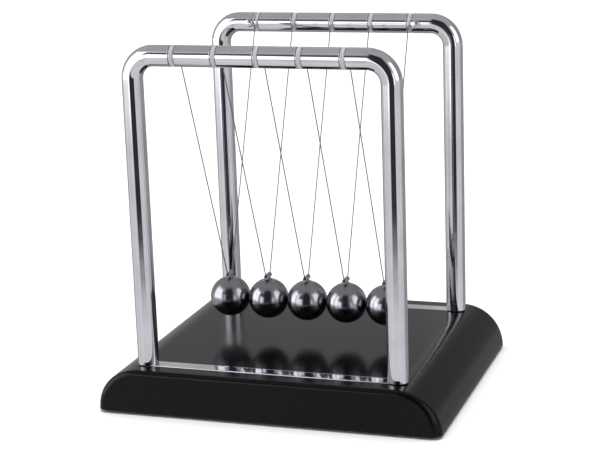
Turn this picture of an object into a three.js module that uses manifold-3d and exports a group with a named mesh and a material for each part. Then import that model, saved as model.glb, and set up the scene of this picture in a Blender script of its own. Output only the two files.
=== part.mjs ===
// A newton's cradle: five steel balls hang in a row from two tubular frames on a moulded base.
// Units are millimetres. X runs along the row of balls, Y runs across it and Z is up.
// The origin is at the middle of the footprint, on the surface that the feet stand on.

import * as THREE from "three";
import { mergeVertices } from "three/addons/utils/BufferGeometryUtils.js";
import Module from "manifold-3d";

const wasm = await Module();
wasm.setup();

// Clearances
const GAP = 0.3; // between pieces that touch on the real object
const PAST = 2; // how far a cutting shape runs past what it cuts
const MERGE_DISTANCE = 1e-4;

// Row of balls
const BALL_COUNT = 5;
const BALL_RADIUS = 11;
const BALL_PITCH = 22.25;
const BALL_CENTRE_Z = 44.4;

// Base
const BASE_LENGTH = 185.5;
const BASE_DEPTH = 155.3;
const BASE_TOP = 24.4;
const SHELL_BOTTOM = 1.5;
const SHELL_WALL = 2.5;
const END_CURVE_LENGTH = 24; // how far each rounded end runs along X
const EDGE_RADIUS = 2.5;
const CORNER_RADIUS = 5;
const COVER_BOTTOM = 2;
const COVER_THICKNESS = 2;
const FOOT_RADIUS = 8;
const FOOT_CHAMFER = 0.5;
const FOOT_X = 74;
const FOOT_Y = 61;

// Frames
const TUBE_RADIUS = 5.5;
const TUBE_BORE_RADIUS = 4.4;
const TUBE_SIDES = 16;
const BEND_RADIUS = 12;
const BEND_STEPS = 6;
const POST_X = 67.8;
const FRAME_Y = 63.6;
const RAIL_Z = 187.5;
const GROOVE_WIDTH = 2.8;
const GROOVE_DEPTH = 0.6;
const FOOT_BAR_WIDTH = 7.6;
const FOOT_BAR_THICKNESS = 0.8;
const FOOT_BAR_RISE = 0.2; // how far a bar stands out of its pocket in the base

// Fasteners
const LEG_SCREW_RADIUS = 2;
const LEG_SCREW_HEAD_RADIUS = 4;
const LEG_SCREW_HEAD_HEIGHT = 2.6;
const LEG_SCREW_HOLE_RADIUS = 2.5;
const WASHER_RADIUS = 5.5;
const WASHER_THICKNESS = 0.8;
const PLUG_LENGTH = 14;
const BOSS_RADIUS = 6;
const BOSS_BOTTOM = 10;
const COVER_SCREW_RADIUS = 1.4;
const COVER_SCREW_HEAD_RADIUS = 3.4;
const COVER_SCREW_HEAD_HEIGHT = 1.3;
const COVER_SCREW_LENGTH = 12;
const COVER_BOSS_RADIUS = 5;
const ANCHOR_X = 48.5;
const ANCHOR_HEAD_RADIUS = 2.25;
const ANCHOR_HEAD_HEIGHT = 1.3;
const ANCHOR_SHANK_RADIUS = 0.9;
const ANCHOR_SHANK_LENGTH = 3.2;

// Suspension
const LINE_RADIUS = 0.3;
const LINE_SIDES = 6;
const KNOT_RADIUS = 0.55;
const KNOT_INWARD = 6.7; // from the rail's axis to where a line leaves its loop
const KNOT_DROP = 1;
const LINE_BEND_RADIUS = 0.6;
const LINE_BEND_STEPS = 4;
const LUG_RADIUS = 2.2;
const LUG_RISE = 0.8; // crest of the lug's flange above the ball
const LUG_STUD_RADIUS = 1;
const LUG_STUD_DEPTH = 3;
const EYE_RISE = 1.7; // axis of the lug's eye above the ball
const EYE_RADIUS = 1.35;
const EYE_BORE_RADIUS = 0.65;
const EYE_LENGTH = 6.4;

// Heights and lengths that follow from the dimensions above
const FOOT_BAR_TOP = BASE_TOP + FOOT_BAR_RISE;
const FOOT_BAR_BOTTOM = FOOT_BAR_TOP - FOOT_BAR_THICKNESS;
const TUBE_BOTTOM = FOOT_BAR_TOP + GAP;
const COVER_TOP = COVER_BOTTOM + COVER_THICKNESS;
const KNOT_Y = FRAME_Y - KNOT_INWARD;
const KNOT_Z = RAIL_Z - KNOT_DROP;
const EYE_Z = BALL_RADIUS + EYE_RISE; // above the ball's centre
const SOCKET_DEPTH = LUG_STUD_DEPTH + GAP;

const chrome = new THREE.MeshStandardMaterial({ color: 0xd8dadd, roughness: 0.08, metalness: 1 });
const darkSteel = new THREE.MeshStandardMaterial({ color: 0x8d9095, roughness: 0.1, metalness: 1 });
const zincSteel = new THREE.MeshStandardMaterial({ color: 0xb9bab6, roughness: 0.35, metalness: 1 });
const blackPlastic = new THREE.MeshStandardMaterial({ color: 0x17181b, roughness: 0.28, metalness: 0 });
const greyPlastic = new THREE.MeshStandardMaterial({ color: 0x222326, roughness: 0.6, metalness: 0 });
const rubber = new THREE.MeshStandardMaterial({ color: 0x101010, roughness: 0.85, metalness: 0 });
const nylon = new THREE.MeshStandardMaterial({ color: 0xb4b6b8, roughness: 0.4, metalness: 0 });

const cradle = new THREE.Group();

function place(name, geometry, material, x = 0, y = 0, z = 0) {
  const mesh = new THREE.Mesh(geometry, material);
  mesh.name = name;
  mesh.position.set(x, y, z);
  cradle.add(mesh);
}

// Manifold solids from three.js geometry, and back

function solid(geometry) {
  const bare = geometry.clone();
  bare.deleteAttribute("normal");
  bare.deleteAttribute("uv");
  const merged = mergeVertices(bare, MERGE_DISTANCE);
  const corners = merged.index.array;
  const triangles = [];
  for (let i = 0; i < corners.length; i += 3) {
    const [a, b, c] = corners.slice(i, i + 3);
    if (a !== b && b !== c && c !== a) triangles.push(a, b, c);
  }
  const mesh = new wasm.Mesh({
    numProp: 3,
    vertProperties: merged.attributes.position.array,
    triVerts: new Uint32Array(triangles),
  });
  return new wasm.Manifold(mesh);
}

function geometryOf(manifold) {
  const mesh = manifold.getMesh();
  const geometry = new THREE.BufferGeometry();
  geometry.setAttribute("position", new THREE.BufferAttribute(mesh.vertProperties, 3));
  geometry.setIndex(new THREE.BufferAttribute(mesh.triVerts, 1));
  geometry.computeVertexNormals();
  return geometry;
}

// Basic shapes, all standing along Z

function rod(radius, bottom, top, sides = 16) {
  const geometry = new THREE.CylinderGeometry(radius, radius, top - bottom, sides);
  return geometry.rotateX(Math.PI / 2).translate(0, 0, (bottom + top) / 2);
}

function turned(profile, sides = 16) {
  const points = profile.map(([radius, height]) => new THREE.Vector2(radius, height));
  return new THREE.LatheGeometry(points, sides).rotateX(Math.PI / 2);
}

function tubeRing(inner, outer, bottom, top, sides = 16) {
  return turned([[inner, bottom], [outer, bottom], [outer, top], [inner, top], [inner, bottom]], sides);
}

function ball(radius) {
  return new THREE.SphereGeometry(radius, 24, 12).rotateX(Math.PI / 2);
}

function roundedRectangle(length, depth, radius) {
  const x = length / 2 - radius;
  const y = depth / 2 - radius;
  const shape = new THREE.Shape();
  shape.absarc(x, y, radius, 0, Math.PI / 2);
  shape.absarc(-x, y, radius, Math.PI / 2, Math.PI);
  shape.absarc(-x, -y, radius, Math.PI, 1.5 * Math.PI);
  shape.absarc(x, -y, radius, 1.5 * Math.PI, 2 * Math.PI);
  return shape;
}

function plate(shape, bottom, top, curveSegments = 4) {
  const settings = { depth: top - bottom, bevelEnabled: false, curveSegments };
  return new THREE.ExtrudeGeometry(shape, settings).translate(0, 0, bottom);
}

// A curve through stations, each with its own direction, stepped exactly at the stations.
class StationCurve extends THREE.Curve {
  constructor(stations) {
    super();
    this.stations = stations;
  }

  between(t, key) {
    const last = this.stations.length - 1;
    const index = Math.min(Math.floor(t * last + 1e-6), last - 1);
    const from = this.stations[index][key];
    return from.clone().lerp(this.stations[index + 1][key], t * last - index);
  }

  getPoint(t, target = new THREE.Vector3()) {
    return target.copy(this.between(t, "point"));
  }

  getTangent(t, target = new THREE.Vector3()) {
    return target.copy(this.between(t, "direction")).normalize();
  }

  getUtoTmapping(u) {
    return u;
  }
}

function sweep(stations, radius, sides) {
  const section = new THREE.Shape();
  for (let i = 0; i < sides; i += 1) {
    const angle = (2 * Math.PI * i) / sides;
    const corner = [radius * Math.cos(angle), radius * Math.sin(angle)];
    if (i === 0) section.moveTo(...corner);
    else section.lineTo(...corner);
  }
  section.closePath();
  const settings = { steps: stations.length - 1, extrudePath: new StationCurve(stations) };
  return new THREE.ExtrudeGeometry(section, settings);
}

// Base: a moulded shell with rounded ends, open below, closed by a cover on four rubber feet

function endedBlock(inset, bevel) {
  const halfLength = BASE_LENGTH / 2 - inset;
  const flat = BASE_LENGTH / 2 - END_CURVE_LENGTH;
  const height = BASE_TOP - SHELL_BOTTOM - inset;
  const skirt = SHELL_BOTTOM - 2 * EDGE_RADIUS;
  const side = new THREE.Shape();
  side.moveTo(-halfLength, skirt);
  side.lineTo(halfLength, skirt);
  side.absellipse(flat, SHELL_BOTTOM, halfLength - flat, height, 0, Math.PI / 2);
  side.absellipse(-flat, SHELL_BOTTOM, halfLength - flat, height, Math.PI / 2, Math.PI);
  const depth = BASE_DEPTH - 2 * inset - 2 * bevel;
  const geometry = new THREE.ExtrudeGeometry(side, {
    depth,
    curveSegments: 5,
    bevelEnabled: bevel > 0,
    bevelThickness: bevel,
    bevelSize: bevel,
    bevelOffset: -bevel,
    bevelSegments: 2,
  });
  return solid(geometry.rotateX(Math.PI / 2).translate(0, depth / 2, 0));
}

function footprint(inset, bottom, top) {
  const outline = roundedRectangle(
    BASE_LENGTH - 2 * inset,
    BASE_DEPTH - 2 * inset,
    CORNER_RADIUS - inset,
  );
  return solid(plate(outline, bottom, top));
}

function atCorners(x, y) {
  return [
    { label: "front_left", x: -x, y: -y },
    { label: "front_right", x, y: -y },
    { label: "rear_left", x: -x, y },
    { label: "rear_right", x, y },
  ];
}

const legs = atCorners(POST_X, FRAME_Y);

function barPlate(margin, bottom, top) {
  const width = FOOT_BAR_WIDTH + 2 * margin;
  return plate(roundedRectangle(2 * POST_X + width, width, width / 2), bottom, top, 6);
}

function baseShell() {
  let shell = endedBlock(0, EDGE_RADIUS).intersect(footprint(0, SHELL_BOTTOM, BASE_TOP + PAST));
  const hollow = endedBlock(SHELL_WALL, 0).intersect(footprint(SHELL_WALL, -PAST, BASE_TOP));
  shell = shell.subtract(hollow);
  const underside = BASE_TOP - SHELL_WALL / 2;
  for (const leg of legs) {
    shell = shell.add(solid(rod(BOSS_RADIUS, BOSS_BOTTOM, underside).translate(leg.x, leg.y, 0)));
    const hole = rod(LEG_SCREW_HOLE_RADIUS, BOSS_BOTTOM - PAST, BASE_TOP + PAST);
    shell = shell.subtract(solid(hole.translate(leg.x, leg.y, 0)));
  }
  for (const y of [-FRAME_Y, FRAME_Y]) {
    const pocket = barPlate(GAP, FOOT_BAR_BOTTOM - GAP, BASE_TOP + PAST).translate(0, y, 0);
    shell = shell.subtract(solid(pocket));
  }
  shell = shell.add(solid(rod(COVER_BOSS_RADIUS, COVER_TOP + GAP, underside)));
  const screwHole = rod(COVER_SCREW_RADIUS + GAP, COVER_TOP - PAST, COVER_BOTTOM + COVER_SCREW_LENGTH);
  return geometryOf(shell.subtract(solid(screwHole)));
}

function bottomCover() {
  const cover = footprint(SHELL_WALL + 2 * GAP, COVER_BOTTOM, COVER_TOP);
  const hole = rod(COVER_SCREW_RADIUS + GAP, COVER_BOTTOM - PAST, COVER_TOP + PAST);
  return geometryOf(cover.subtract(solid(hole)));
}

// A pan-head screw that stands head down, with the underside of its head at z = 0.
function panScrew(headRadius, headHeight, shankRadius, shankLength, sides = 16) {
  const profile = [
    [0, -headHeight],
    [0.6 * headRadius, -headHeight],
    [headRadius, -0.5 * headHeight],
    [headRadius, 0],
    [shankRadius, 0],
    [shankRadius, shankLength - shankRadius],
    [0.5 * shankRadius, shankLength],
    [0, shankLength],
  ];
  return geometryOf(solid(turned(profile, sides)));
}

function foot() {
  const top = COVER_BOTTOM - GAP;
  const profile = [
    [0, 0],
    [FOOT_RADIUS - FOOT_CHAMFER, 0],
    [FOOT_RADIUS, FOOT_CHAMFER],
    [FOOT_RADIUS, top],
    [0, top],
  ];
  return geometryOf(solid(turned(profile, 20)));
}

place("base_shell", baseShell(), blackPlastic);
place("bottom_cover", bottomCover(), greyPlastic);
const coverScrew = panScrew(
  COVER_SCREW_HEAD_RADIUS,
  COVER_SCREW_HEAD_HEIGHT,
  COVER_SCREW_RADIUS,
  COVER_SCREW_LENGTH - 1,
);
place("cover_screw", coverScrew, zincSteel, 0, 0, COVER_BOTTOM - GAP);
for (const { label, x, y } of atCorners(FOOT_X, FOOT_Y)) {
  place(`foot_${label}`, foot(), rubber, x, y);
}

// Frames: one bent tube each, with a groove for every ball's line

function frameStations(bottom) {
  const bendZ = RAIL_Z - BEND_RADIUS;
  const stations = [{ point: new THREE.Vector3(-POST_X, 0, bottom), direction: new THREE.Vector3(0, 0, 1) }];
  for (const side of [-1, 1]) {
    for (let i = 0; i <= BEND_STEPS; i += 1) {
      const quarter = (Math.PI / 2) * (side < 0 ? i / BEND_STEPS : 1 + i / BEND_STEPS);
      const x = side * (POST_X - BEND_RADIUS) - BEND_RADIUS * Math.cos(quarter);
      const z = bendZ + BEND_RADIUS * Math.sin(quarter);
      const direction = new THREE.Vector3(Math.sin(quarter), 0, Math.cos(quarter));
      stations.push({ point: new THREE.Vector3(x, 0, z), direction });
    }
  }
  stations.push({ point: new THREE.Vector3(POST_X, 0, bottom), direction: new THREE.Vector3(0, 0, -1) });
  return stations;
}

const ballXs = Array.from({ length: BALL_COUNT }, (_, i) => (i - (BALL_COUNT - 1) / 2) * BALL_PITCH);

function aroundRail(geometry, x) {
  return geometry.rotateY(Math.PI / 2).translate(x, 0, RAIL_Z);
}

function frame(anchorXs) {
  let tube = solid(sweep(frameStations(TUBE_BOTTOM), TUBE_RADIUS, TUBE_SIDES));
  tube = tube.subtract(solid(sweep(frameStations(TUBE_BOTTOM - PAST), TUBE_BORE_RADIUS, TUBE_SIDES)));
  for (const x of ballXs) {
    const inner = TUBE_RADIUS - GROOVE_DEPTH;
    const groove = tubeRing(inner, TUBE_RADIUS + PAST, -GROOVE_WIDTH / 2, GROOVE_WIDTH / 2, TUBE_SIDES);
    tube = tube.subtract(solid(aroundRail(groove, x)));
  }
  for (const x of anchorXs) {
    const hole = rod(ANCHOR_SHANK_RADIUS + GAP, 0, TUBE_RADIUS + PAST, 12).rotateX(Math.PI / 2);
    tube = tube.subtract(solid(hole.translate(x, 0, RAIL_Z)));
  }
  return geometryOf(tube);
}

function footBar() {
  let bar = solid(barPlate(0, FOOT_BAR_BOTTOM, FOOT_BAR_TOP));
  for (const x of [-POST_X, POST_X]) {
    const hole = rod(LEG_SCREW_HOLE_RADIUS, FOOT_BAR_BOTTOM - PAST, FOOT_BAR_TOP + PAST);
    bar = bar.subtract(solid(hole.translate(x, 0, 0)));
  }
  return geometryOf(bar);
}

place("front_frame", frame([]), chrome, 0, -FRAME_Y);
place("rear_frame", frame([-ANCHOR_X, ANCHOR_X]), chrome, 0, FRAME_Y);
place("front_foot_bar", footBar(), chrome, 0, -FRAME_Y);
place("rear_foot_bar", footBar(), chrome, 0, FRAME_Y);

const washerBottom = BOSS_BOTTOM - GAP - WASHER_THICKNESS;
const plugBottom = TUBE_BOTTOM + GAP;
const legScrewLength = plugBottom + PLUG_LENGTH - washerBottom;
for (const { label, x, y } of legs) {
  const plug = tubeRing(LEG_SCREW_RADIUS + GAP, TUBE_BORE_RADIUS - 1.5 * GAP, 0, PLUG_LENGTH);
  place(`leg_plug_${label}`, geometryOf(solid(plug)), zincSteel, x, y, plugBottom);
  const washer = tubeRing(LEG_SCREW_HOLE_RADIUS, WASHER_RADIUS, 0, WASHER_THICKNESS);
  place(`leg_washer_${label}`, geometryOf(solid(washer)), zincSteel, x, y, washerBottom);
  const screw = panScrew(LEG_SCREW_HEAD_RADIUS, LEG_SCREW_HEAD_HEIGHT, LEG_SCREW_RADIUS, legScrewLength);
  place(`leg_screw_${label}`, screw, zincSteel, x, y, washerBottom - GAP);
}

// The anchor screws face inwards on the rear rail and hold the ends of the line.
for (const [label, x] of [["left", -ANCHOR_X], ["right", ANCHOR_X]]) {
  const screw = panScrew(ANCHOR_HEAD_RADIUS, ANCHOR_HEAD_HEIGHT, ANCHOR_SHANK_RADIUS, ANCHOR_SHANK_LENGTH, 12);
  screw.rotateX(-Math.PI / 2);
  place(`anchor_screw_${label}`, screw, zincSteel, x, FRAME_Y - TUBE_RADIUS - GAP, RAIL_Z);
}

// Balls, each with a lug that ends in an eye, hung on one line that passes through the eye

function hangingBall() {
  const socket = rod(LUG_STUD_RADIUS + GAP, BALL_RADIUS - SOCKET_DEPTH, BALL_RADIUS + PAST, 12);
  return geometryOf(solid(ball(BALL_RADIUS)).subtract(solid(socket)));
}

// A domed flange that fits the ball, on a stud, with an eye: a short tube across the row of balls.
function lug() {
  const crest = BALL_RADIUS + LUG_RISE;
  const dome = [
    [0, BALL_RADIUS - 1],
    [LUG_RADIUS, BALL_RADIUS - 1],
    [LUG_RADIUS, crest - 0.35],
    [0.6 * LUG_RADIUS, crest - 0.1],
    [0, crest],
  ];
  const flange = solid(turned(dome)).subtract(solid(ball(BALL_RADIUS + GAP)));
  const stud = solid(rod(LUG_STUD_RADIUS, BALL_RADIUS - LUG_STUD_DEPTH, EYE_Z, 12));
  const eye = rod(EYE_RADIUS, -EYE_LENGTH / 2, EYE_LENGTH / 2).rotateX(Math.PI / 2).translate(0, 0, EYE_Z);
  const bore = rod(EYE_BORE_RADIUS, -EYE_LENGTH, EYE_LENGTH, 12).rotateX(Math.PI / 2).translate(0, 0, EYE_Z);
  return geometryOf(flange.add(stud).add(solid(eye)).subtract(solid(bore)));
}

// The front half of a line: from the front knot down to the eye, where it bends to run along the bore.
function frontLineStations() {
  const bendY = -EYE_LENGTH / 2;
  const bendZ = BALL_CENTRE_Z + EYE_Z + LINE_BEND_RADIUS;
  const toBend = new THREE.Vector2(bendY + KNOT_Y, bendZ - KNOT_Z);
  const heading = toBend.angle() - Math.asin(LINE_BEND_RADIUS / toBend.length());
  const start = KNOT_RADIUS + GAP;
  const down = new THREE.Vector3(0, Math.cos(heading), Math.sin(heading));
  const startPoint = new THREE.Vector3(0, -KNOT_Y, KNOT_Z).addScaledVector(down, start);
  const stations = [{ point: startPoint, direction: down }];
  for (let i = 0; i <= LINE_BEND_STEPS; i += 1) {
    const angle = heading + ((2 * Math.PI - heading) * i) / LINE_BEND_STEPS;
    const direction = new THREE.Vector3(0, Math.cos(angle), Math.sin(angle));
    const outwards = new THREE.Vector3(0, direction.z, -direction.y);
    const point = new THREE.Vector3(0, bendY, bendZ).addScaledVector(outwards, LINE_BEND_RADIUS);
    stations.push({ point, direction });
  }
  return stations;
}

function lineStations() {
  const front = frontLineStations();
  const rear = front.toReversed().map(({ point, direction }) => ({
    point: new THREE.Vector3(0, -point.y, point.z),
    direction: new THREE.Vector3(0, direction.y, -direction.z),
  }));
  return [...front, ...rear];
}

ballXs.forEach((x, i) => {
  const number = i + 1;
  place(`ball_${number}`, hangingBall(), darkSteel, x, 0, BALL_CENTRE_Z);
  place(`lug_${number}`, lug(), chrome, x, 0, BALL_CENTRE_Z);
  place(`line_${number}`, geometryOf(solid(sweep(lineStations(), LINE_RADIUS, LINE_SIDES))), nylon, x);
  for (const [label, side] of [["front", -1], ["rear", 1]]) {
    const knot = new THREE.SphereGeometry(KNOT_RADIUS, 8, 6);
    place(`${label}_knot_${number}`, geometryOf(solid(knot)), nylon, x, side * KNOT_Y, KNOT_Z);
    const loopRadius = TUBE_RADIUS - GROOVE_DEPTH + GAP + LINE_RADIUS;
    const loop = new THREE.TorusGeometry(loopRadius, LINE_RADIUS, 5, TUBE_SIDES).rotateY(Math.PI / 2);
    place(`${label}_loop_${number}`, geometryOf(solid(loop)), nylon, x, side * FRAME_Y, RAIL_Z);
  }
});

export default cradle;
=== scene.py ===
"""A newton's cradle: fine pieces, materials, studio and camera, built round its CAD frame.

Shapes are worked out in millimetres and become metres when a mesh is made.
X runs along the row of balls, Y runs across it and Z is up.
"""

import math

import bmesh
import bpy
from mathutils import Matrix, Vector


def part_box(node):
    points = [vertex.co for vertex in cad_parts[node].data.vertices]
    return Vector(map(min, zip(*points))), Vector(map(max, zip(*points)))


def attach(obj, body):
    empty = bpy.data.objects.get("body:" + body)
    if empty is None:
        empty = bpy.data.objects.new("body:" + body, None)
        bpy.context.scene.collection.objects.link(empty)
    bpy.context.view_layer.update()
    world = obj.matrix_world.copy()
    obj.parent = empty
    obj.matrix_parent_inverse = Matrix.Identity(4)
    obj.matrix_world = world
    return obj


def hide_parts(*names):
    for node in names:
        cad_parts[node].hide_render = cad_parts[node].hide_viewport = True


MM = 0.001

# Frames
TUBE_RADIUS = 5.5
TUBE_BORE_RADIUS = 4.4
TUBE_SIDES = 56
TUBE_RIM_CHAMFER = 0.25
BEND_RADIUS = 12.0
BEND_STEPS = 26
GROOVE_DEPTH = 0.6
GROOVE_FLOOR = 1.35  # half of the flat part of a groove
GROOVE_REACH = 1.7  # half of a groove's width at the tube's surface
GROOVE_STEPS = 5
SUPPORT = 0.6  # spacing of the extra rings that keep long faces flat in shading
FOOT_BAR_EDGE = 0.12
FOOT_BAR_HOLE_RADIUS = 2.5
SEAT = 0.05  # clearance between pieces that touch

# Balls and lugs
BALL_RADIUS = 11.0
BALL_SIDES = 96
BALL_RINGS = 64
SOCKET_RADIUS = 1.3
SOCKET_DEPTH = 3.3
LUG_RADIUS = 2.2
LUG_RISE = 0.8  # crest of the lug's flange above the ball
STUD_RADIUS = 1.0
STUD_DEPTH = 3.0
NECK_RADIUS = 0.9
EYE_RISE = 1.7  # axis of the eye above the ball
EYE_RADIUS = 1.35
EYE_WAIST = 0.07
EYE_BORE_RADIUS = 0.65
EYE_LENGTH = 6.4

# Line
LINE_RADIUS = 0.3
LINE_SIDES = 10
LINE_CLEARANCE = 0.02
LINE_SPACING = 0.63  # of turns that lie side by side
LOOP_TURNS = 4
WINDING_RADIUS = TUBE_RADIUS - GROOVE_DEPTH + LINE_RADIUS + LINE_CLEARANCE
KNOT_SIZE = 0.34

# Base
SHELL_WALL = 2.5
END_CURVE_LENGTH = 24.0
END_CURVE_STEPS = 28
EDGE_RADIUS = 2.5
END_EDGE_RADIUS = 5.0
EDGE_STEPS = 8
BOSS_RADIUS = 6.0
BOSS_BOTTOM = 10.0
LEG_HOLE_RADIUS = 2.5
COVER_BOSS_RADIUS = 5.0
COVER_HOLE_RADIUS = 1.7
COVER_CORNER_RADIUS = 1.9
COVER_BORDER = 4.0
COVER_RECESS = 0.6
COVER_PAD_RADIUS = 9.5
FOOT_GROOVES = (3.0, 5.2)

# Screws
COVER_SCREW_SHANK_RADIUS = 1.4
ANCHOR_SHANK_RADIUS = 0.9
ANCHOR_HEAD_HEIGHT = 1.3
ANCHOR_STAND_OFF = 0.62  # from the rail to the underside of the screw's head
ANCHOR_SCREW_TURNS = 2.25  # of line under the screw's head
ANCHOR_SCREW_STEPS = 60
ANCHOR_RAIL_START = 24.0  # degrees past the rail's near side
ANCHOR_RAIL_SWEEP = 300.0  # degrees of line round the rail
ANCHOR_RAIL_STEPS = 48
CROSS_WIDTH = 0.22  # of the head's radius
CROSS_LENGTH = 0.62
CROSS_DEPTH = 0.5  # of the head's height

# Camera, fitted to the photograph's viewing angle
LENS_MM = 103.72
CAMERA_AT = (0.286365, -0.857181, 0.313428)
CAMERA_YAW = 18.638
CAMERA_PITCH = 14.081
CAMERA_ROLL = -1.994

BALL_COUNT = 5
CORNERS = ("front_left", "front_right", "rear_left", "rear_right")
SIDES = ("front", "rear")


def place_camera():
    yaw, pitch, roll = (math.radians(a) for a in (CAMERA_YAW, CAMERA_PITCH, CAMERA_ROLL))
    ahead = Vector((-math.sin(yaw) * math.cos(pitch), math.cos(yaw) * math.cos(pitch), -math.sin(pitch)))
    level = ahead.cross(Vector((0, 0, 1))).normalized()
    upright = level.cross(ahead)
    right = math.cos(roll) * level + math.sin(roll) * upright
    up = math.cos(roll) * upright - math.sin(roll) * level
    data = bpy.data.cameras.new("camera")
    data.lens = LENS_MM
    camera = bpy.data.objects.new("camera", data)
    camera.matrix_world = Matrix.Translation(CAMERA_AT) @ Matrix((right, up, -ahead)).transposed().to_4x4()
    bpy.context.collection.objects.link(camera)
    bpy.context.scene.camera = camera


# Where the CAD pieces are


def low(node):
    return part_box(node)[0] / MM


def high(node):
    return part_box(node)[1] / MM


def middle(node):
    return (low(node) + high(node)) / 2


# Shapes: a shape is a list of points and a list of faces


def skin(rings, closed=False, caps=True):
    """Faces between neighbouring rings of points, each ring running round to its own start."""
    count = len(rings[0])
    points = [Vector(point) for ring in rings for point in ring]
    faces = []
    for i in range(len(rings) if closed else len(rings) - 1):
        here = i * count
        following = (i + 1) % len(rings) * count
        for j in range(count):
            k = (j + 1) % count
            faces.append((here + j, here + k, following + k, following + j))
    if caps and not closed:
        faces.append(tuple(reversed(range(count))))
        faces.append(tuple(range(len(points) - count, len(points))))
    return points, faces


def turned(profile, sides=32, closed=False):
    """A profile of (radius, height) turned about Z. An open profile starts and ends on the axis."""
    rings = []
    for radius, height in profile:
        angles = [2 * math.pi * j / sides for j in range(sides)]
        rings.append([(radius * math.cos(a), radius * math.sin(a), height) for a in angles])
    return skin(rings, closed=closed, caps=False)


def tube_along(path, radius, sides):
    """A round tube along a list of points, closed with flat caps at its ends."""
    rings = []
    across = Vector((1, 0, 0))
    for i, point in enumerate(path):
        before = path[max(i - 1, 0)]
        after = path[min(i + 1, len(path) - 1)]
        ahead = (after - before).normalized()
        across = (across - across.dot(ahead) * ahead).normalized()
        side = ahead.cross(across)
        angles = [2 * math.pi * j / sides for j in range(sides)]
        rings.append([point + radius * (math.cos(a) * across + math.sin(a) * side) for a in angles])
    return skin(rings)


def moved(shape, offset=(0, 0, 0), turn=None):
    points, faces = shape
    matrix = turn if turn is not None else Matrix.Identity(3)
    return [matrix @ point + Vector(offset) for point in points], faces


def block(size, centre):
    x, y, z = (s / 2 for s in size)
    ring = [(-x, -y), (x, -y), (x, y), (-x, y)]
    rings = [[Vector((px, py, pz)) + Vector(centre) for px, py in ring] for pz in (-z, z)]
    return skin(rings)


def outline(length, depth, radius, height, steps=8):
    """A rounded rectangle about the Z axis at one height."""
    points = []
    for quarter, (sx, sy) in enumerate(((1, 1), (-1, 1), (-1, -1), (1, -1))):
        for i in range(steps + 1):
            angle = math.pi / 2 * (quarter + i / steps)
            x = sx * (length / 2 - radius) + radius * math.cos(angle)
            y = sy * (depth / 2 - radius) + radius * math.sin(angle)
            points.append((x, y, height))
    return points


def mesh_of(shape, name):
    points, faces = shape
    mesh = bpy.data.meshes.new(name)
    mesh.from_pydata([point * MM for point in points], [], faces)
    tidy = bmesh.new()
    tidy.from_mesh(mesh)
    bmesh.ops.remove_doubles(tidy, verts=tidy.verts, dist=1e-8)
    bmesh.ops.dissolve_degenerate(tidy, edges=tidy.edges, dist=1e-8)
    bmesh.ops.recalc_face_normals(tidy, faces=tidy.faces)
    tidy.to_mesh(mesh)
    tidy.free()
    return mesh


def object_of(shape, name):
    made = bpy.data.objects.new(name, mesh_of(shape, name))
    bpy.context.collection.objects.link(made)
    return made


def combined(shape, steps):
    """A mesh of the shape with other shapes cut from it or added to it, one after another."""
    target = object_of(shape, "target")
    for operation, other in steps:
        tool = object_of(other, "tool")
        modifier = target.modifiers.new("combine", "BOOLEAN")
        modifier.operation = operation
        modifier.solver = "EXACT"
        modifier.object = tool
        graph = bpy.context.evaluated_depsgraph_get()
        result = bpy.data.meshes.new_from_object(target.evaluated_get(graph))
        target.modifiers.clear()
        target.data = result
        bpy.data.objects.remove(tool)
    mesh = target.data
    bpy.data.objects.remove(target)
    return mesh


def piece(name, shape, body, slot, replaces=None, sharp_degrees=35):
    """Adds one piece, shaded smooth up to a given angle, in the finish of its slot."""
    mesh = shape if isinstance(shape, bpy.types.Mesh) else mesh_of(shape, name)
    mesh.shade_smooth()
    mesh.set_sharp_from_angle(angle=math.radians(sharp_degrees))
    mesh.materials.clear()
    mesh.materials.append(FINISHES[slot])
    made = bpy.data.objects.new(name, mesh)
    bpy.context.collection.objects.link(made)
    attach(made, body)
    if replaces:
        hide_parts(replaces)
    return made


# Frames and foot bars


def groove_sink(x, ball_xs):
    """How deep the rail's surface lies below the plain tube at x."""
    distance = min(abs(x - ball_x) for ball_x in ball_xs)
    share = (GROOVE_REACH - distance) / (GROOVE_REACH - GROOVE_FLOOR)
    share = min(max(share, 0.0), 1.0)
    return GROOVE_DEPTH * share * share * (3 - 2 * share)


def rail_xs(ball_xs, end):
    steps = [GROOVE_REACH + SUPPORT, GROOVE_REACH]
    for i in range(1, GROOVE_STEPS + 1):
        steps.append(GROOVE_REACH + (GROOVE_FLOOR - GROOVE_REACH) * i / GROOVE_STEPS)
    xs = [-end + SUPPORT, end - SUPPORT]
    for ball_x in ball_xs:
        xs += [ball_x - step for step in steps]
        xs += [ball_x + step for step in steps]
    return sorted(xs)


def frame_stations(post_x, rail_z, bottom, ball_xs):
    """(x, z, angle of travel above +X, radius) from the left foot over the rail to the right foot."""
    bend_x = post_x - BEND_RADIUS
    bend_z = rail_z - BEND_RADIUS
    up = math.pi / 2
    left_post = [
        (-post_x, bottom, up, TUBE_RADIUS - TUBE_RIM_CHAMFER),
        (-post_x, bottom + TUBE_RIM_CHAMFER, up, TUBE_RADIUS),
        (-post_x, bottom + TUBE_RIM_CHAMFER + SUPPORT, up, TUBE_RADIUS),
        (-post_x, bend_z - SUPPORT, up, TUBE_RADIUS),
    ]
    left_bend = []
    for i in range(BEND_STEPS + 1):
        angle = up * (1 - i / BEND_STEPS)
        x = -bend_x - BEND_RADIUS * math.sin(angle)
        z = bend_z + BEND_RADIUS * math.cos(angle)
        left_bend.append((x, z, angle, TUBE_RADIUS))
    rail = []
    for x in rail_xs(ball_xs, bend_x):
        rail.append((x, rail_z, 0.0, TUBE_RADIUS - groove_sink(x, ball_xs)))
    left = left_post + left_bend
    right = [(-x, z, -angle, radius) for x, z, angle, radius in reversed(left)]
    return left + rail + right


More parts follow.
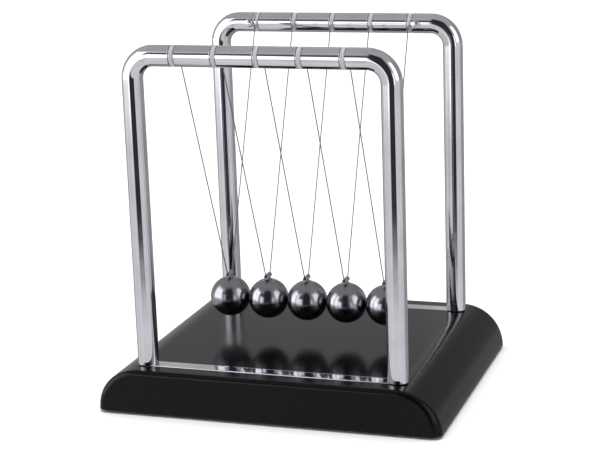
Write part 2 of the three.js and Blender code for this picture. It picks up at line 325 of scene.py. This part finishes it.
def frame_shape(post_x, rail_z, bottom, y, ball_xs):
    outside = frame_stations(post_x, rail_z, bottom, ball_xs)
    inside = []
    for x, z, angle, _ in reversed(outside):
        inside.append((x, z, angle, TUBE_BORE_RADIUS))
    rings = []
    for x, z, angle, radius in outside + inside:
        ring = []
        for j in range(TUBE_SIDES):
            turn = 2 * math.pi * j / TUBE_SIDES
            out = radius * math.cos(turn)
            ring.append((x - out * math.sin(angle), y + radius * math.sin(turn), z + out * math.cos(angle)))
        rings.append(ring)
    return skin(rings, closed=True)


def foot_bar_mesh(node):
    corner_low = low(node)
    corner_high = high(node)
    size = corner_high - corner_low
    layers = (
        (FOOT_BAR_EDGE / 2, corner_low.z),
        (0.0, corner_low.z + FOOT_BAR_EDGE / 2),
        (0.0, corner_high.z - FOOT_BAR_EDGE),
        (0.3 * FOOT_BAR_EDGE, corner_high.z - 0.3 * FOOT_BAR_EDGE),
        (FOOT_BAR_EDGE, corner_high.z),
        (FOOT_BAR_EDGE + SUPPORT, corner_high.z),
    )
    bar = moved(skin([bar_outline(size, -inset, height) for inset, height in layers]), (0, middle(node).y, 0))
    steps = []
    for x in (-1, 1):
        hole = turned(rod_profile(FOOT_BAR_HOLE_RADIUS, corner_low.z - 2, corner_high.z + 2))
        offset = (x * (size.x - size.y) / 2, middle(node).y, 0)
        steps.append(("DIFFERENCE", moved(hole, offset)))
    return combined(bar, steps)


def bar_outline(size, margin, height):
    depth = size.y + 2 * margin
    return outline(size.x + 2 * margin, depth, depth / 2 - 0.01, height, steps=12)


# Balls, lugs and line


def rod_profile(radius, bottom, top):
    return [(0, bottom), (radius, bottom), (radius, top), (0, top)]


def ball_shape():
    start = math.asin(SOCKET_RADIUS / BALL_RADIUS)
    profile = [(0, BALL_RADIUS - SOCKET_DEPTH), (SOCKET_RADIUS, BALL_RADIUS - SOCKET_DEPTH)]
    for i in range(BALL_RINGS + 1):
        angle = start + (math.pi - start) * i / BALL_RINGS
        profile.append((BALL_RADIUS * math.sin(angle), BALL_RADIUS * math.cos(angle)))
    return turned(profile, BALL_SIDES)


def lug_mesh():
    """The lug about its ball's centre: a stud, a domed flange that fits the ball, a neck and a tube eye."""
    seat = BALL_RADIUS + SEAT
    crest = BALL_RADIUS + LUG_RISE
    eye_z = BALL_RADIUS + EYE_RISE
    profile = [(0, BALL_RADIUS - STUD_DEPTH), (0.75 * STUD_RADIUS, BALL_RADIUS - STUD_DEPTH)]
    profile.append((STUD_RADIUS, BALL_RADIUS - STUD_DEPTH + 0.25))
    for i in range(6):
        radius = STUD_RADIUS + (LUG_RADIUS - 0.12 - STUD_RADIUS) * i / 5
        profile.append((radius, math.sqrt(seat * seat - radius * radius)))
    rim = math.sqrt(seat * seat - LUG_RADIUS * LUG_RADIUS)
    profile += [
        (LUG_RADIUS, rim + 0.08),
        (LUG_RADIUS, rim + 0.26),
        (LUG_RADIUS - 0.08, rim + 0.37),
        (LUG_RADIUS - 0.25, rim + 0.44),
        (1.4, crest - 0.14),
        (NECK_RADIUS + 0.08, crest + 0.05),
        (NECK_RADIUS, crest + 0.2),
        (NECK_RADIUS, eye_z),
        (0, eye_z),
    ]
    across = Matrix.Rotation(math.pi / 2, 3, "X")
    room = turned(rod_profile(0.8 * EYE_RADIUS, -EYE_LENGTH / 2, EYE_LENGTH / 2))
    steps = [
        ("DIFFERENCE", moved(room, (0, 0, eye_z), across)),
        ("UNION", moved(turned(eye_profile(), 32, closed=True), (0, 0, eye_z), across)),
    ]
    return combined(turned(profile, 40), steps)


def eye_profile():
    """The wall of the eye: a tube with rounded lips and a slight waist."""
    lip = (EYE_RADIUS - EYE_BORE_RADIUS) / 2
    lip_radius = EYE_BORE_RADIUS + lip
    lip_height = EYE_LENGTH / 2 - lip
    half = []
    for i in range(9):
        turn = math.pi * i / 8
        half.append((lip_radius - lip * math.cos(turn), lip_height + lip * math.sin(turn)))
    waist = [(EYE_RADIUS, 0.7 * lip_height), (EYE_RADIUS - EYE_WAIST, 0.45 * lip_height)]
    lower = [(radius, -height) for radius, height in reversed(half + waist)]
    return half + waist + lower


def line_path(knot_y, knot_z, ball_z):
    """From the front knot, round the lips of the eye and through its bore, and up to the rear knot."""
    lip = (EYE_RADIUS - EYE_BORE_RADIUS) / 2
    bend = lip + LINE_RADIUS + LINE_CLEARANCE
    bend_y = EYE_LENGTH / 2 - lip
    bend_z = ball_z + BALL_RADIUS + EYE_RISE + EYE_BORE_RADIUS + lip
    out = Vector((knot_y - bend_y, knot_z - bend_z))
    heading = -math.atan2(out.y, out.x) - math.asin(bend / out.length)
    front = [Vector((0, -knot_y, knot_z))]
    steps = 12
    for i in range(steps + 1):
        angle = heading * (1 - i / steps)
        front.append(Vector((0, -bend_y + bend * math.sin(angle), bend_z - bend * math.cos(angle))))
    return front + [Vector((0, -point.y, point.z)) for point in reversed(front)]


def knot_shape(centre):
    """A small overhand knot."""
    path = []
    steps = 48
    for i in range(steps + 1):
        t = 2 * math.pi * i / steps
        x = math.sin(t) + 2 * math.sin(2 * t)
        y = math.cos(t) - 2 * math.cos(2 * t)
        path.append(centre + KNOT_SIZE / 3 * Vector((x, y, -math.sin(3 * t))))
    return tube_along(path, 0.75 * LINE_RADIUS, 8)


def loop_shape(axis, knot, turns, shift):
    """Turns of line side by side in a rail groove, whose ends come off it at a tangent to the knot."""
    out = knot - axis
    towards = math.atan2(out.z, out.y)
    radius = WINDING_RADIUS
    lead = math.acos(radius / math.hypot(out.y, out.z))
    total = 2 * math.pi * turns - 2 * lead
    width = (turns - 1) * LINE_SPACING
    path = [knot]
    steps = 48 * turns
    for i in range(steps + 1):
        angle = towards + lead + total * i / steps
        x = axis.x + shift - width / 2 + width * i / steps
        path.append(Vector((x, axis.y + radius * math.cos(angle), axis.z + radius * math.sin(angle))))
    path.append(knot)
    return tube_along(path, LINE_RADIUS, LINE_SIDES)


# Base


def end_edge_radius(angle):
    """The edge's radius where the end curve stands at this angle: the largest at the foot of the end."""
    return EDGE_RADIUS + (END_EDGE_RADIUS - EDGE_RADIUS) * math.cos(angle) ** 4


def shell_skin(length, depth, bottom, top, wall):
    """The base's skin, outside or, with a wall thickness, inside, as rows that run across the base."""
    flat_x = length / 2 - END_CURVE_LENGTH
    along = END_CURVE_LENGTH - wall
    rise = top - bottom - wall
    half_depth = depth / 2 - wall
    quarter = [math.pi / 2 * i / END_CURVE_STEPS for i in range(END_CURVE_STEPS + 1)]
    right = []
    for angle in quarter:
        x = flat_x + along * math.cos(angle)
        z = bottom + rise * math.sin(angle)
        normal = Vector((math.cos(angle) / along, 0, math.sin(angle) / rise)).normalized()
        right.append((x, z, normal, max(end_edge_radius(angle) - wall, 0.3)))
    right.append((flat_x - SUPPORT, right[-1][1], Vector((0, 0, 1)), right[-1][3]))
    left = [(-x, z, Vector((-n.x, 0, n.z)), radius) for x, z, n, radius in reversed(right)]
    rows = []
    for x, z, normal, radius in right + left:
        front = [(x - normal.x * radius, -half_depth, bottom)]
        for i in range(EDGE_STEPS + 1):
            turn = math.pi / 2 * i / EDGE_STEPS
            sunk = radius * (1 - math.sin(turn))
            y = radius - radius * math.cos(turn) - half_depth
            front.append((x - normal.x * sunk, y, z - normal.z * sunk))
        front.append((x, radius + SUPPORT - half_depth, z))
        rear = [(px, -py, pz) for px, py, pz in reversed(front)]
        rows.append(front + rear)
    return rows


def shell_shape(length, depth, bottom, top):
    outside = shell_skin(length, depth, bottom, top, 0.0)
    inside = shell_skin(length, depth, bottom, top, SHELL_WALL)
    rows = len(outside)
    count = len(outside[0])
    points = [Vector(p) for row in outside + inside for p in row]
    faces = []
    for start in (0, rows * count):
        for i in range(rows - 1):
            for j in range(count - 1):
                a = start + i * count + j
                faces.append((a, a + 1, a + count + 1, a + count))
    border = list(range(count))
    border += [i * count + count - 1 for i in range(1, rows)]
    border += [(rows - 1) * count + j for j in range(count - 2, -1, -1)]
    border += [i * count for i in range(rows - 2, 0, -1)]
    for i, here in enumerate(border):
        following = border[(i + 1) % len(border)]
        shift = rows * count
        faces.append((here, following, following + shift, here + shift))
    return points, faces


def shell_mesh(leg_places):
    corner_low = low("base_shell")
    corner_high = high("base_shell")
    size = corner_high - corner_low
    shape = shell_shape(size.x, size.y, corner_low.z, corner_high.z)
    inside_top = corner_high.z - SHELL_WALL / 2
    steps = []
    for x, y in leg_places:
        boss = turned(rod_profile(BOSS_RADIUS, BOSS_BOTTOM, inside_top))
        hole = turned(rod_profile(LEG_HOLE_RADIUS, BOSS_BOTTOM - 2, corner_high.z + 2))
        steps.append(("UNION", moved(boss, (x, y, 0))))
        steps.append(("DIFFERENCE", moved(hole, (x, y, 0))))
    for side in SIDES:
        node = f"{side}_foot_bar"
        size = high(node) - low(node)
        heights = (low(node).z - SEAT, corner_high.z + 2)
        pocket = skin([bar_outline(size, SEAT, height) for height in heights])
        steps.append(("DIFFERENCE", moved(pocket, (0, middle(node).y, 0))))
    cover_top = high("bottom_cover").z
    boss = turned(rod_profile(COVER_BOSS_RADIUS, cover_top + 0.1, inside_top))
    hole = turned(rod_profile(COVER_HOLE_RADIUS, cover_top - 2, high("cover_screw").z + 1))
    steps += [("UNION", boss), ("DIFFERENCE", hole)]
    return combined(shape, steps)


def cover_mesh():
    """The cover: a plate with a raised border, pads for the feet and the screw, and stiffening ribs."""
    corner_low = low("bottom_cover")
    corner_high = high("bottom_cover")
    size = corner_high - corner_low
    sunk = corner_low.z + COVER_RECESS
    layers = (
        (0.0, corner_high.z),
        (0.0, corner_low.z + 0.4),
        (0.4, corner_low.z),
        (COVER_BORDER, corner_low.z),
        (COVER_BORDER + 0.3, sunk),
    )
    rings = []
    for inset, height in layers:
        radius = max(COVER_CORNER_RADIUS - inset, 0.6)
        rings.append(outline(size.x - 2 * inset, size.y - 2 * inset, radius, height))
    plate = skin(rings)
    steps = []
    for x in (-1, 1):
        rib = block((1.6, size.y - 4 * COVER_BORDER, COVER_RECESS), (x * size.x / 6, 0, sunk - 0.25))
        steps.append(("UNION", rib))
    steps.append(("UNION", block((size.x - 4 * COVER_BORDER, 1.6, COVER_RECESS), (0, 0, sunk - 0.25))))
    for corner in CORNERS:
        centre = middle(f"foot_{corner}")
        pad = turned(rod_profile(COVER_PAD_RADIUS, corner_low.z, corner_low.z + 1))
        steps.append(("UNION", moved(pad, (centre.x, centre.y, 0))))
    steps.append(("UNION", turned(rod_profile(COVER_PAD_RADIUS, corner_low.z, corner_low.z + 1))))
    steps.append(("DIFFERENCE", turned(rod_profile(COVER_HOLE_RADIUS, 0, corner_high.z + 2))))
    return combined(plate, steps)


def foot_shape(radius, top):
    profile = [(0, 0.35), (1.2, 0.35), (1.5, 0)]
    for groove in FOOT_GROOVES:
        profile += [(groove - 0.3, 0), (groove - 0.1, 0.3), (groove + 0.1, 0.3), (groove + 0.3, 0)]
    profile += [(radius - 0.5, 0), (radius - 0.15, 0.15), (radius, 0.5), (radius, top), (0, top)]
    return turned(profile, 48)


# Screws: the head's underside is at height 0 and its shank points up


def screw_mesh(head_radius, head_height, shank_radius, shank_length):
    dome = []
    for i in range(9):
        turn = math.pi / 2 * i / 8
        dome.append((head_radius * math.sin(turn), -head_height * (0.35 + 0.65 * math.cos(turn))))
    profile = dome + [(head_radius, -0.06), (head_radius - 0.06, 0), (shank_radius, 0)]
    thread = shank_radius * 0.14
    pitch = shank_radius * 0.5
    for i in range(int((shank_length - 2 * pitch) / pitch)):
        start = 0.5 * pitch + i * pitch
        profile += [(shank_radius - thread, start), (shank_radius, start + pitch / 2)]
    profile += [(shank_radius - thread, shank_length - pitch), (0.4 * shank_radius, shank_length)]
    profile.append((0, shank_length))
    across = 2 * CROSS_LENGTH * head_radius
    width = 2 * CROSS_WIDTH * head_radius / 2
    deep = CROSS_DEPTH * head_height
    centre = (0, 0, -head_height)
    cross = [
        ("DIFFERENCE", block((across, width, 2 * deep), centre)),
        ("DIFFERENCE", block((width, across, 2 * deep), centre)),
    ]
    return combined(turned(profile, 40), cross)


def anchor_line_path(screw, rail, groove_x):
    """Line wound under the screw's head and then most of a turn round the rail, beside the loop."""
    inward = 1 if groove_x > screw.x else -1
    path = []
    y = rail.y - TUBE_RADIUS - ANCHOR_STAND_OFF / 2
    for i in range(ANCHOR_SCREW_STEPS + 1):
        turn = 2 * ANCHOR_SCREW_TURNS * math.pi * i / ANCHOR_SCREW_STEPS
        radius = ANCHOR_SHANK_RADIUS + LINE_RADIUS + 0.05 + 0.55 * i / ANCHOR_SCREW_STEPS
        x = screw.x - inward * radius * math.cos(turn)
        path.append(Vector((x, y, screw.z - radius * math.sin(turn))))
    radius = WINDING_RADIUS
    x = groove_x - inward * (LOOP_TURNS - 1) / 2 * LINE_SPACING
    first = math.pi + math.radians(ANCHOR_RAIL_START)
    for i in range(ANCHOR_RAIL_STEPS + 1):
        angle = first + math.radians(ANCHOR_RAIL_SWEEP) * i / ANCHOR_RAIL_STEPS
        path.append(Vector((x, rail.y + radius * math.cos(angle), rail.z + radius * math.sin(angle))))
    return path


# Materials: textures use object coordinates, in metres


class Nodes:
    """A short way to add linked nodes to one node tree."""

    def __init__(self, tree):
        self.tree = tree

    def add(self, kind, settings=None, **inputs):
        node = self.tree.nodes.new(kind)
        for name, value in (settings or {}).items():
            setattr(node, name, value)
        for name, value in inputs.items():
            self.put(node, name.replace("_", " "), value)
        return node

    def put(self, node, name, value):
        socket = node.inputs[int(name)] if name.isdigit() else node.inputs[name]
        if isinstance(value, bpy.types.NodeSocket):
            self.tree.links.new(value, socket)
        else:
            socket.default_value = value

    def noise(self, where, scale, detail=3.0, stretch=(1, 1, 1)):
        if stretch != (1, 1, 1):
            mapping = self.add("ShaderNodeMapping", Vector=where, Scale=stretch)
            where = mapping.outputs["Vector"]
        node = self.add("ShaderNodeTexNoise", Vector=where, Scale=scale, Detail=detail)
        return node.outputs["Fac"]

    def between(self, factor, start, end, low_end=0.0, high_end=1.0):
        """Brings a factor that runs from low_end to high_end to run from start to end."""
        node = self.add("ShaderNodeMapRange", {"interpolation_type": "SMOOTHSTEP"}, Value=factor)
        node.inputs["From Min"].default_value = low_end
        node.inputs["From Max"].default_value = high_end
        node.inputs["To Min"].default_value = start
        node.inputs["To Max"].default_value = end
        return node.outputs["Result"]

    def math(self, operation, first, second=0.0):
        node = self.add("ShaderNodeMath", {"operation": operation})
        self.put(node, "0", first)
        self.put(node, "1", second)
        return node.outputs[0]

    def blend(self, factor, first, second):
        node = self.add("ShaderNodeMix", {"data_type": "RGBA"})
        self.put(node, "0", factor)
        self.put(node, "6", first)
        self.put(node, "7", second)
        return node.outputs[2]

    def bump(self, height, distance, normal=None):
        node = self.add("ShaderNodeBump", Height=height, Distance=distance, Strength=1.0)
        if normal is not None:
            self.put(node, "Normal", normal)
        return node.outputs["Normal"]


def new_material(name, metallic=0.0, ior=1.5):
    material = bpy.data.materials.new(name)
    material.use_nodes = True
    shader = material.node_tree.nodes["Principled BSDF"]
    shader.inputs["Metallic"].default_value = metallic
    shader.inputs["IOR"].default_value = ior
    nodes = Nodes(material.node_tree)
    where = nodes.add("ShaderNodeTexCoord").outputs["Object"]
    return material, shader, nodes, where


def grey(value, blue=1.0):
    return (value, value, value * blue, 1.0)


def finish(name, dark, light, rough, grain, metallic=0.0, ior=1.5, clear=0.0, specular=0.5):
    """One finish: two tones, a range of roughness, and bumps of (scale, distance, stretch)."""
    material, shader, nodes, where = new_material(name, metallic, ior)
    shader.inputs["Transmission Weight"].default_value = clear
    shader.inputs["Specular IOR Level"].default_value = specular
    tone_scale = grain[0][0]
    tone = nodes.between(nodes.noise(where, tone_scale), 0.0, 1.0, 0.35, 0.65)
    nodes.put(shader, "Base Color", nodes.blend(tone, dark, light))
    smudge = nodes.noise(where, 45.0, 5.0)
    nodes.put(shader, "Roughness", nodes.between(smudge, rough[0], rough[1], 0.3, 0.7))
    normal = None
    for scale, distance, stretch in grain:
        normal = nodes.bump(nodes.noise(where, scale, 2.0, stretch), distance, normal)
    nodes.put(shader, "Normal", normal)
    return material


FINISHES = {
    "chrome_plate": finish(
        "chrome_plate",
        grey(0.70, 1.03),
        grey(0.76, 1.03),
        (0.035, 0.075),
        [(60.0, 0.00003, (1, 1, 1)), (2600.0, 0.0000006, (1, 1, 1))],
        metallic=1.0,
    ),
    "ball_steel": finish(
        "ball_steel",
        grey(0.31, 1.1),
        grey(0.36, 1.08),
        (0.16, 0.22),
        [(900.0, 0.0000006, (1, 1, 1)), (4200.0, 0.0000004, (1, 1, 1))],
        metallic=1.0,
    ),
    "lug_metal": finish(
        "lug_metal",
        grey(0.32, 1.02),
        grey(0.52, 1.02),
        (0.2, 0.36),
        [(1400.0, 0.00003, (1, 1, 1)), (5200.0, 0.000008, (1, 1, 1))],
        metallic=1.0,
    ),
    "zinc_steel": finish(
        "zinc_steel",
        grey(0.74, 1.03),
        grey(0.88, 1.02),
        (0.26, 0.38),
        [(1100.0, 0.000008, (1, 1, 1)), (5600.0, 0.000003, (1, 1, 1))],
        metallic=1.0,
    ),
    "base_plastic": finish(
        "base_plastic",
        grey(0.0015, 1.15),
        grey(0.003, 1.15),
        (0.13, 0.19),
        [(700.0, 0.0000015, (1, 1, 1)), (3200.0, 0.000002, (1, 1, 1))],
        ior=1.4,
        specular=0.25,
    ),
    "cover_plastic": finish(
        "cover_plastic",
        grey(0.016, 1.1),
        grey(0.026, 1.1),
        (0.45, 0.62),
        [(1300.0, 0.00003, (1, 1, 1)), (4200.0, 0.000015, (1, 1, 1))],
        ior=1.46,
    ),
    "rubber": finish(
        "rubber",
        grey(0.012),
        grey(0.024),
        (0.72, 0.9),
        [(1500.0, 0.00002, (1, 1, 1)), (5000.0, 0.00001, (1, 1, 1))],
        ior=1.5,
    ),
    "line_nylon": finish(
        "line_nylon",
        grey(0.08, 1.05),
        grey(0.13, 1.05),
        (0.3, 0.45),
        [(2500.0, 0.00001, (1, 1, 1)), (9000.0, 0.000004, (1, 1, 1))],
        ior=1.53,
        clear=0.1,
    ),
    "wound_line": finish(
        "wound_line",
        grey(0.46, 1.06),
        grey(0.58, 1.06),
        (0.3, 0.45),
        [(2500.0, 0.00001, (1, 1, 1)), (9000.0, 0.000004, (1, 1, 1))],
        ior=1.53,
        clear=0.15,
    ),
}


# Studio: a pale floor, a soft light from above, and surroundings that the metal reflects.
# An area of the surroundings runs between two bearings and two heights, in degrees. Bearing 0
# is straight in front of the cradle and grows to its right; the soft edges lie outside.

FLOOR_SIZE = 14.0
SURROUNDINGS = (
    # bearings, edge, heights, edge, radiance
    ((-180, 180), 1, (-4, 90), 8, grey(0.47, 1.03)),
    ((-85, 80), 45, (-90, -3), 3, grey(0.80, 1.04)),
    ((-180, 180), 1, (40, 90), 6, grey(0.48, 1.0)),
    ((100, 178), 20, (5, 38), 8, grey(0.34, 1.0)),
    ((-174, -168), 3, (14, 24), 3, grey(0.80, 1.0)),
    ((-78, -42), 18, (-2, 36), 10, grey(3.2, 1.02)),
    ((64, 90), 10, (8, 38), 12, grey(2.4, 1.04)),
    ((-26, -15), 5, (-8, 16), 4, grey(2.4, 1.02)),
    ((-34, -10), 6, (20, 36), 3, grey(0.12, 1.1)),
    ((-10, 35), 7, (-13.5, 56), 4, grey(0.035, 1.35)),
    ((40, 46), 4, (-5, 12), 5, grey(1.7, 1.1)),
)
STREAKS = 0.09  # upright streaks, per degree of bearing
OVERHEAD_STRENGTH = 2.5
OVERHEAD_SPREAD = 68.0  # degrees


def within(nodes, angle, span, edge):
    rising = nodes.between(angle, 0.0, 1.0, span[0] - edge, span[0])
    falling = nodes.between(angle, 1.0, 0.0, span[1], span[1] + edge)
    return nodes.math("MULTIPLY", rising, falling)


def make_world():
    world = bpy.data.worlds.new("studio")
    bpy.context.scene.world = world
    world.use_nodes = True
    nodes = Nodes(world.node_tree)
    background = world.node_tree.nodes["Background"]
    direction = nodes.add("ShaderNodeTexCoord").outputs["Generated"]
    parts = nodes.add("ShaderNodeSeparateXYZ", Vector=direction).outputs
    away = nodes.math("MULTIPLY", parts["Y"], -1.0)
    bearing = nodes.math("DEGREES", nodes.math("ARCTAN2", parts["X"], away))
    height = nodes.math("DEGREES", nodes.math("ARCSINE", parts["Z"]))
    colour = grey(0.36, 1.02)
    for bearings, side_edge, heights, level_edge, radiance in SURROUNDINGS:
        side = within(nodes, bearing, bearings, side_edge)
        level = within(nodes, height, heights, level_edge)
        colour = nodes.blend(nodes.math("MULTIPLY", side, level), colour, radiance)
    along = nodes.add("ShaderNodeCombineXYZ", X=bearing).outputs["Vector"]
    streak = nodes.between(nodes.noise(along, STREAKS, 2.0), 0.72, 1.12, 0.35, 0.65)
    colour = nodes.blend(streak, grey(0.0), colour)
    seen = nodes.add("ShaderNodeLightPath").outputs["Is Camera Ray"]
    nodes.put(background, "Color", nodes.blend(seen, colour, grey(1.0)))


def add_overhead_light():
    """Even light from a broad patch straight above, which the metal doesn't mirror."""
    data = bpy.data.lights.new("overhead", "SUN")
    data.energy = OVERHEAD_STRENGTH
    data.angle = math.radians(OVERHEAD_SPREAD)
    light = bpy.data.objects.new("overhead", data)
    light.visible_glossy = False
    bpy.context.collection.objects.link(light)


def make_floor():
    half = FLOOR_SIZE / 2
    mesh = bpy.data.meshes.new("floor")
    corners = [(-half, -half, 0), (half, -half, 0), (half, half, 0), (-half, half, 0)]
    mesh.from_pydata(corners, [], [(0, 1, 2, 3)])
    material, shader, nodes, where = new_material("floor")
    nodes.put(shader, "Base Color", nodes.blend(nodes.noise(where, 3.0), grey(0.93), grey(0.95)))
    shader.inputs["Roughness"].default_value = 0.9
    mesh.materials.append(material)
    floor = bpy.data.objects.new("floor", mesh)
    floor.visible_glossy = False
    bpy.context.collection.objects.link(floor)


# The cradle


def add_frames(ball_xs):
    for side in SIDES:
        node = f"{side}_frame"
        corner_low = low(node)
        corner_high = high(node)
        post_x = corner_high.x - TUBE_RADIUS
        rail_z = corner_high.z - TUBE_RADIUS
        bottom = high(f"{side}_foot_bar").z + SEAT
        shape = frame_shape(post_x, rail_z, bottom, middle(node).y, ball_xs)
        piece(f"{side}_frame_tube", shape, "stand", "chrome_plate", node)
        bar = foot_bar_mesh(f"{side}_foot_bar")
        piece(f"{side}_foot_strip", bar, "stand", "chrome_plate", f"{side}_foot_bar")


def add_hanging_balls(ball_xs):
    ball = ball_shape()
    lug = lug_mesh()
    for number, x in enumerate(ball_xs, start=1):
        body = f"hanging_ball_{number}"
        centre = Vector((x, 0, low(f"ball_{number}").z + BALL_RADIUS))
        piece(f"steel_ball_{number}", moved(ball, centre), body, "ball_steel", f"ball_{number}")
        own_lug = lug.copy()
        own_lug.transform(Matrix.Translation(centre * MM))
        piece(f"ball_lug_{number}", own_lug, body, "lug_metal", f"lug_{number}")
        rear_knot = middle(f"rear_knot_{number}")
        path = [point + Vector((x, 0, 0)) for point in line_path(rear_knot.y, rear_knot.z, centre.z)]
        line = tube_along(path, LINE_RADIUS, LINE_SIDES)
        piece(f"suspension_line_{number}", line, body, "line_nylon", f"line_{number}")
        for side in SIDES:
            knot = middle(f"{side}_knot_{number}")
            piece(f"tied_{side}_knot_{number}", knot_shape(knot), body, "line_nylon", f"{side}_knot_{number}")
            axis = middle(f"{side}_loop_{number}")
            turns = LOOP_TURNS
            shift = 0.0
            if side == "rear" and number in (1, BALL_COUNT):
                turns -= 1
                shift = math.copysign(LINE_SPACING / 2, -x)
            loop = loop_shape(axis, knot, turns, shift)
            piece(f"wound_{side}_loop_{number}", loop, "stand", "wound_line", f"{side}_loop_{number}")


def add_base():
    leg_places = [(middle(f"leg_screw_{c}").x, middle(f"leg_screw_{c}").y) for c in CORNERS]
    shell = piece("moulded_shell", shell_mesh(leg_places), "stand", "base_plastic", "base_shell")
    shell.modifiers.new("weighted_normals", "WEIGHTED_NORMAL").keep_sharp = True
    piece("ribbed_cover", cover_mesh(), "stand", "cover_plastic", "bottom_cover")
    for corner in CORNERS:
        node = f"foot_{corner}"
        centre = middle(node)
        shape = foot_shape(high(node).x - centre.x, low("bottom_cover").z)
        piece(f"rubber_foot_{corner}", moved(shape, (centre.x, centre.y, 0)), "stand", "rubber", node)


def add_screws(ball_xs):
    cover_low = low("cover_screw")
    cover_high = high("cover_screw")
    underside = low("bottom_cover").z
    head_radius = (cover_high.x - cover_low.x) / 2
    head_height = underside - cover_low.z
    mesh = screw_mesh(head_radius, head_height, COVER_SCREW_SHANK_RADIUS, cover_high.z - underside)
    mesh.transform(Matrix.Translation((0, 0, underside * MM)))
    piece("cover_fixing_screw", mesh, "stand", "zinc_steel", "cover_screw")
    rail = middle("rear_loop_1")
    for label, number in (("left", 1), ("right", BALL_COUNT)):
        node = f"anchor_screw_{label}"
        centre = middle(node)
        head_y = rail.y - TUBE_RADIUS - ANCHOR_STAND_OFF
        head_radius = high(node).x - centre.x
        mesh = screw_mesh(head_radius, ANCHOR_HEAD_HEIGHT, ANCHOR_SHANK_RADIUS, high(node).y - head_y)
        upright = Matrix.Rotation(-math.pi / 2, 4, "X")
        mesh.transform(Matrix.Translation(Vector((centre.x, head_y, centre.z)) * MM) @ upright)
        piece(f"round_head_screw_{label}", mesh, "stand", "zinc_steel", node)
        path = anchor_line_path(centre, rail, ball_xs[number - 1])
        strand = tube_along(path, LINE_RADIUS, LINE_SIDES)
        piece(f"anchored_line_end_{label}", strand, "stand", "wound_line")


def finish_carried_nodes():
    """The leg plugs, washers and screws inside the base stay as the CAD nodes, in the zinc finish."""
    for corner in CORNERS:
        for kind in ("plug", "washer", "screw"):
            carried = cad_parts[f"leg_{kind}_{corner}"]
            for slot in carried.material_slots:
                slot.material = FINISHES["zinc_steel"]


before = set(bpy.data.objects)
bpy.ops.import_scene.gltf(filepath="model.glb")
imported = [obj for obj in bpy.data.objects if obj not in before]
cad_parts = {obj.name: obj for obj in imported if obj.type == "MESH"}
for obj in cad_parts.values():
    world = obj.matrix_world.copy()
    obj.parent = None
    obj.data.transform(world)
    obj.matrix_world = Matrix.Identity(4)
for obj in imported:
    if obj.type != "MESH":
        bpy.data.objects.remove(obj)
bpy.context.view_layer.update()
place_camera()
bpy.context.scene.view_settings.view_transform = "Standard"

ball_centres = [middle(f"line_{number}").x for number in range(1, BALL_COUNT + 1)]
add_base()
add_frames(ball_centres)
add_hanging_balls(ball_centres)
add_screws(ball_centres)
finish_carried_nodes()

make_world()
make_floor()
add_overhead_light()
